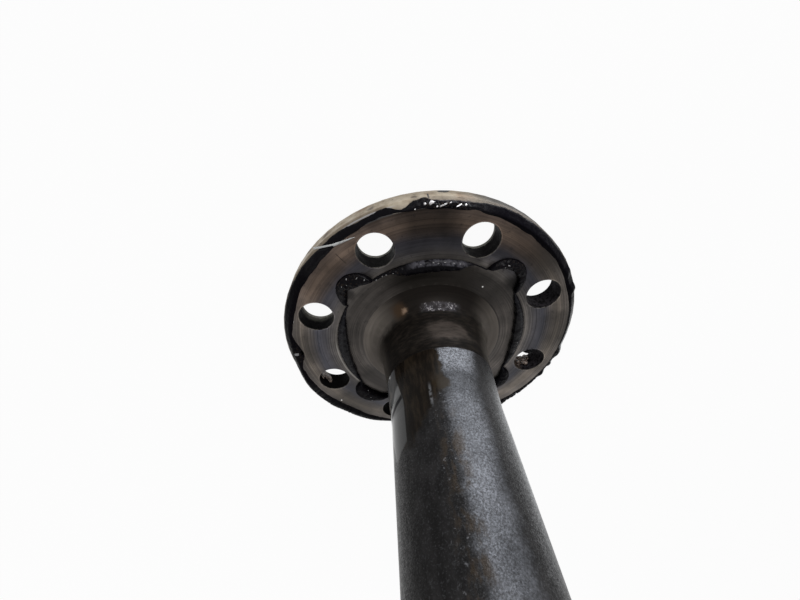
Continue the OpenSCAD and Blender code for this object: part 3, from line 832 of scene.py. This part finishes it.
def off_scrape(point):
    """Distance from the scraped line, seen from above."""
    along = (SCRAPE_TO - SCRAPE_FROM).xy
    t = (Vector(point[:2]) - SCRAPE_FROM.xy).dot(along) / along.length_squared
    nearest = SCRAPE_FROM.xy + along * min(max(t, 0.0), 1.0)
    return (Vector(point[:2]) - nearest).length


def on_chamfer(along):
    """Radius and height of a place on the way out over the seat and down the chamfer, from their edge."""
    if along < 0:
        return CHAMFER_R + along, 0.0
    return CHAMFER_R + along * sqrt(0.5), -along * sqrt(0.5)


def outer_state(point):
    """How gritty and how ragged the outer bead is at a point."""
    angle = atan2(point.y, point.x)
    grit = hump(angle, ((106, 12, 0.9), (203, 11, 0.7), (8, 9, 0.4)))
    return grit, (0.05 + hump(angle, OUTER_TEARS)) * MM


def outer_bead():
    """The bead that squeezed out at the rim: a film over the chamfer and the seat's edge, with torn lumps."""
    count, steps = 1800, 16
    sections = []
    for i in range(count):
        angle = 2 * pi * i / count
        lap = OUTER_LAP + 0.5 * grain(polar(1.0, angle, 5.0), 0.10, 4) + hump(angle, OUTER_LAPS)
        cover = OUTER_COVER + 0.4 * grain(polar(1.0, angle, 9.0), 0.08, 4) + hump(angle, OUTER_COVERS)
        thick = (OUTER_THICK + hump(angle, OUTER_LUMPS)) * MM
        start = -lap * MM
        end = max(min(cover * MM, SEAT_CHAMFER - 0.05 * MM) * sqrt(2), start + LEAST_W)
        section = []
        for step in range(steps + 1):
            v = step / steps
            along = start + (end - start) * v
            radius, height = on_chamfer(along)
            clear = smooth(off_scrape(polar(radius, angle, 0)), 0.5 * MM, 1.2 * MM)
            blunt = sqrt(1 - max(0.0, (v - 0.8) / 0.2) ** 2)
            rise = thick * smooth(v, 0.0, 0.4) * blunt * clear
            lean = radians(45) * smooth(along, -0.8 * MM, 0.8 * MM)
            free = min(1.0, 5 * v, 5 - 5 * v)
            section.append((radius + rise * sin(lean), height + rise * cos(lean), free))
        section.append((*on_chamfer(max(start + 0.05 * MM, 0.0)), 0.0))
        sections.append(section)
    return sealant_piece("outer_bead", sections, "sealant_outer_bead", outer_state, 0.06 * MM)


# Marks, dirt, and chips that also stand as painted glints

def scrape():
    """A bright line that a tool scraped from the rim in towards a bolt hole; it tapers as it goes."""
    stations = 60
    along = SCRAPE_TO - SCRAPE_FROM
    side = Vector((-along.y, along.x, 0)).normalized()
    rows = []
    for i in range(stations + 1):
        t = i / stations
        point = SCRAPE_FROM.lerp(SCRAPE_TO, t)
        radius, angle = point.xy.length, atan2(point.y, point.x)
        drop = max(radius - CHAMFER_R, 0.0) + max(radius - FLANGE_R, 0.0) * SCRAPE_DROP
        half = (1.15 * (1 - t) ** 0.6 + 0.05) * MM
        middle = polar(min(radius, FLANGE_R + 0.05 * MM), angle, SEAT_Z - drop)
        proud = polar(0.10 * MM if drop else 0.0, angle, 0.12 * MM)
        rows.append((middle - side * half, middle + proud, middle + side * half))
    points = [corner for row in rows for corner in row]
    faces = [(0, 1, 2), (3 * stations, 3 * stations + 2, 3 * stations + 1)]
    for i in range(stations):
        for j in range(3):
            k = (j + 1) % 3
            faces.append((3 * i + j, 3 * i + 3 + j, 3 * i + 3 + k, 3 * i + k))
    add_piece("scraped_line", points, faces, bright_steel())


def dirt(name, hole_angle, lumps, material):
    """Lumps of grit stuck to a bolt hole's wall: place round the wall and height, then radius and squash."""
    hole = polar(BOLT_CIRCLE_R, radians(hole_angle), 0)
    wall = HOLE_R + 0.1 * MM
    points, faces = [], []
    for turn, height, radius, squash in lumps:
        ball = bmesh.new()
        bmesh.ops.create_icosphere(ball, subdivisions=4, radius=1.0)
        out = polar(1.0, radians(turn), 0)
        middle = hole + out * (HOLE_R - 0.35 * radius * MM) + Vector((0, 0, height * MM))
        base = len(points)
        for vertex in ball.verts:
            spread = vertex.co * radius * MM
            spread -= out * spread.dot(out) * (1 - squash)
            swell = 1 + 0.35 * grain(middle + spread, 2.2 * MM, 4)
            point = middle + spread * swell
            from_axis = (point - hole).xy
            if from_axis.length > wall:
                point.xy = hole.xy + from_axis.normalized() * wall
            points.append(point)
        faces += [tuple(base + vertex.index for vertex in face.verts) for face in ball.faces]
        ball.free()
    add_piece(name, points, faces, material)


def chips(name, bead, entries, material):
    """Chips on a bead, which also stand as painted glints: angle and radius, then half length and half width
    in mm, and turn in degrees.
    """
    surface = BVHTree.FromPolygons(
        [vertex.co for vertex in bead.data.vertices],
        [polygon.vertices for polygon in bead.data.polygons],
    )
    points, faces = [], []
    for angle, radius, length, width, turn in entries:
        drop = max(radius * MM - CHAMFER_R, 0.0)
        above = polar(radius * MM, radians(angle), SEAT_Z - drop + 2 * MM)
        middle, up, _, _ = surface.find_nearest(above)
        along = polar(1.0, radians(angle + 90 + turn), 0)
        along = (along - up * along.dot(up)).normalized()
        across = up.cross(along)
        ball = bmesh.new()
        bmesh.ops.create_icosphere(ball, subdivisions=2, radius=1.0)
        base = len(points)
        for vertex in ball.verts:
            spread = along * vertex.co.x * length + across * vertex.co.y * width
            spread += up * vertex.co.z * CHIP_FLATNESS * width
            points.append(middle + spread * MM * (1 + 0.4 * grain(middle + spread * MM, 1.1 * MM, 2)))
        faces += [tuple(base + vertex.index for vertex in face.verts) for face in ball.faces]
        ball.free()
    add_piece(name, points, faces, material)


def new_object(name, data):
    thing = bpy.data.objects.new(name, data)
    bpy.context.scene.collection.objects.link(thing)
    return thing


def add_piece(name, points, faces, material, node=None):
    """A smooth piece that rides on the part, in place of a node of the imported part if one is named."""
    mesh = bpy.data.meshes.new(name)
    mesh.from_pydata(points, [], faces)
    mesh.update()
    mesh.polygons.foreach_set("use_smooth", [True] * len(mesh.polygons))
    mesh.materials.append(material)
    piece = new_object(name, mesh)
    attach(piece, "root")
    if node:
        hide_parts(node)
    return piece


# Lumps in three of the bolt holes: turn round the hole in degrees, height and radius in mm, squash
HOLE_LUMP = ((119, 10.5, 3.9, 0.8),)
HOLE_GRIT = ((-85, 4, 2.8, 0.8), (-68, 6.5, 2.6, 0.7), (-55, 3, 2.4, 0.8), (-100, 7.5, 2.2, 0.7))
HOLE_RESIDUE = ((216, 6.5, 2.4, 0.22), (234, 4.5, 3.0, 0.22), (248, 4.8, 2.6, 0.22), (259, 6.8, 1.7, 0.25))
EDGE_GRIT = ((-80, 7, 2.4, 0.7), (-60, 4.5, 2.0, 0.7))

# How high a chip stands for its width
CHIP_FLATNESS = 0.6
# Chips on the beads, which also stand as painted glints: angle and radius, half length and half width in mm,
# turn in degrees from along the rim
OUTER_GLINT_CHIPS = (
    (113.3, 88.4, 0.7, 0.6, 0), (111.2, 88.6, 1.4, 1.2, 20), (109.4, 86.9, 0.6, 0.4, 20),
    (107.6, 87.3, 2.2, 0.4, 24), (105.2, 88.0, 0.9, 0.35, 15), (102.4, 87.5, 2.6, 0.4, 42),
    (100.4, 88.0, 0.6, 0.6, 0), (116.4, 86.9, 0.4, 0.3, 0),
)
INNER_GLINT_CHIPS = (
    (153, 68.4, 0.6, 0.4, 60), (154.7, 66.1, 0.5, 0.3, 90), (157.4, 67.3, 0.4, 0.35, 0),
    (149.3, 64.9, 0.7, 0.25, 20), (147, 61.5, 0.5, 0.35, 0), (142.9, 56.6, 0.5, 0.35, 30),
    (139, 56.4, 0.4, 0.35, 0), (136.9, 56.8, 0.5, 0.4, 0), (132.9, 56.2, 0.5, 0.35, 0),
    (110.2, 57.0, 0.5, 0.35, 0), (107.6, 56.4, 0.6, 0.3, 10), (104, 57.2, 0.8, 0.25, 0),
    (99.3, 57.0, 0.5, 0.3, 0), (96, 57.1, 0.45, 0.3, 0), (117, 56.8, 0.4, 0.25, 0),
    (72.6, 66.0, 0.6, 0.4, 0), (74, 64.4, 0.4, 0.3, 0), (15, 54.6, 0.35, 0.25, 0),
    (8, 54.5, 0.3, 0.25, 0), (249, 64, 0.4, 0.3, 0), (244, 60, 0.35, 0.3, 0), (252, 67, 0.35, 0.3, 0),
)

# Stage

# How much of the floor's white is its own glow, by the kind of ray that sees it
FLOOR_GLOW = {
    "Is Camera Ray": 0.95, "Is Transmission Ray": 0.95,
    "Is Glossy Ray": 0.90, "Is Diffuse Ray": 0.3,
}
# How bright the world is, and how much brighter for the rays that show it
WORLD_LEVEL = 0.22
WORLD_GLOW = {"Is Camera Ray": 0.78, "Is Transmission Ray": 0.78, "Is Glossy Ray": 0.43}


def by_ray(tree, weights, base):
    """A number that depends on the kind of ray: base, and a weight added for each kind."""
    paths = tree.nodes.new("ShaderNodeLightPath")
    total = base
    for ray, weight in weights.items():
        part = tree.nodes.new("ShaderNodeMath")
        part.operation = "MULTIPLY_ADD"
        tree.links.new(paths.outputs[ray], part.inputs[0])
        part.inputs[1].default_value = weight
        if isinstance(total, float):
            part.inputs[2].default_value = total
        else:
            tree.links.new(total, part.inputs[2])
        total = part.outputs[0]
    return total


def white_floor():
    """A white floor that keeps the part's shadow."""
    half = 20.0
    mesh = bpy.data.meshes.new("floor")
    corners = [(-half, -half, 0), (half, -half, 0), (half, half, 0), (-half, half, 0)]
    mesh.from_pydata(corners, [], [(0, 1, 2, 3)])
    floor = new_object("floor", mesh)
    floor.location.z = -0.05 * MM
    material = bpy.data.materials.new("floor_white")
    material.use_nodes = True
    nodes, links = material.node_tree.nodes, material.node_tree.links
    nodes.clear()
    diffuse = nodes.new("ShaderNodeBsdfDiffuse")
    diffuse.inputs["Color"].default_value = (0.9, 0.9, 0.9, 1.0)
    glow = nodes.new("ShaderNodeEmission")
    mix = nodes.new("ShaderNodeMixShader")
    links.new(by_ray(material.node_tree, FLOOR_GLOW, 0.0), mix.inputs[0])
    links.new(diffuse.outputs[0], mix.inputs[1])
    links.new(glow.outputs[0], mix.inputs[2])
    output = nodes.new("ShaderNodeOutputMaterial")
    links.new(mix.outputs[0], output.inputs["Surface"])
    mesh.materials.append(material)


def soft_world():
    """Even grey light all round, which the camera sees as white and metal mirrors as pale grey."""
    world = bpy.data.worlds.new("studio")
    world.use_nodes = True
    bpy.context.scene.world = world
    background = world.node_tree.nodes["Background"]
    background.inputs["Color"].default_value = (1.0, 1.0, 1.0, 1.0)
    strength = by_ray(world.node_tree, WORLD_GLOW, WORLD_LEVEL)
    world.node_tree.links.new(strength, background.inputs["Strength"])


def panel_lamp(name, width, height, radiance):
    """A rectangular lamp; its radiance is what a mirror would show."""
    data = bpy.data.lights.new(name, "AREA")
    data.shape = "RECTANGLE"
    data.size = width
    data.size_y = height
    data.energy = radiance * pi * width * height
    lamp = new_object(name, data)
    lamp.visible_camera = False
    return lamp


def softbox(name, azimuth, elevation, distance, width, height, radiance):
    """A lamp that faces the flange from afar."""
    lamp = panel_lamp(name, width, height, radiance)
    a, e = radians(azimuth), radians(elevation)
    toward = polar(cos(e), a, sin(e))
    lamp.location = Vector((0, 0, SEAT_Z)) + toward * distance
    lamp.rotation_mode = "QUATERNION"
    lamp.rotation_quaternion = toward.to_track_quat("Z", "Y")


def floor_strip(azimuth, near, far, width, radiance):
    """A strip lamp on the floor that shines up; the shaft mirrors it as a long highlight."""
    lamp = panel_lamp("floor_strip", far - near, width, radiance)
    lamp.data.color = (0.92, 0.96, 1.0)
    lamp.location = polar((near + far) / 2, radians(azimuth), 4 * MM)
    lamp.rotation_euler = (pi, 0, radians(azimuth))


def photo_camera():
    """The photograph's view: close above the flange, looking down past the shaft, with a wide lens."""
    azimuth, elevation, roll = (radians(angle) for angle in (-67.013, -53.365, 173.980))
    forward = polar(cos(elevation), azimuth, sin(elevation))
    level = forward.cross(Vector((0, 0, 1))).normalized()
    right = cos(roll) * level + sin(roll) * level.cross(forward)
    up = right.cross(forward)
    data = bpy.data.cameras.new("photo_view")
    data.sensor_width = 36.0
    data.lens = 15.04
    data.clip_start = 0.005
    camera = new_object("photo_view", data)
    turn = Matrix((right, up, -forward)).transposed().to_4x4()
    camera.matrix_world = Matrix.Translation((-72.78 * MM, 128.59 * MM, SEAT_Z + 152.08 * MM)) @ turn
    bpy.context.scene.camera = camera


bpy.context.scene.view_settings.view_transform = "Standard"
SEALANT = black_sealant()
photo_camera()
white_floor()
soft_world()
softbox("key_softbox", 92, 24, 1.2, 0.60, 0.50, 7.0)
floor_strip(87, 0.10, 0.62, 0.17, 8.0)
floor_strip(-9, 0.10, 0.62, 0.24, 1.0)
softbox("side_softbox", 233, 38, 1.3, 0.7, 0.7, 1.6)
softbox("far_softbox", -62, 34, 1.5, 2.0, 1.0, 0.8)
dress_forging()
grey_glint_chip = glint_chip_finish("grey_glint_chip", (0.10, 0.10, 0.10), (0.42, 0.41, 0.42))
pale_glint_chip = glint_chip_finish("pale_glint_chip", (0.42, 0.40, 0.40), (0.90, 0.88, 0.88))
chips("inner_glint_chips", inner_bead(), INNER_GLINT_CHIPS, grey_glint_chip)
chips("outer_glint_chips", outer_bead(), OUTER_GLINT_CHIPS, pale_glint_chip)
scrape()
brown_grit = damp_grit("brown_grit", (0.105, 0.066, 0.048), (0.55, 0.46, 0.40))
tan_curl = damp_grit("tan_residue", (0.22, 0.165, 0.130), (0.42, 0.35, 0.30))
dirt("hole_grit", 0, HOLE_GRIT, brown_grit)
dirt("hole_lump", 0, HOLE_LUMP, SEALANT)
dirt("edge_grit", 270, EDGE_GRIT, brown_grit)
dirt("hole_residue", 225, HOLE_RESIDUE, tan_curl)
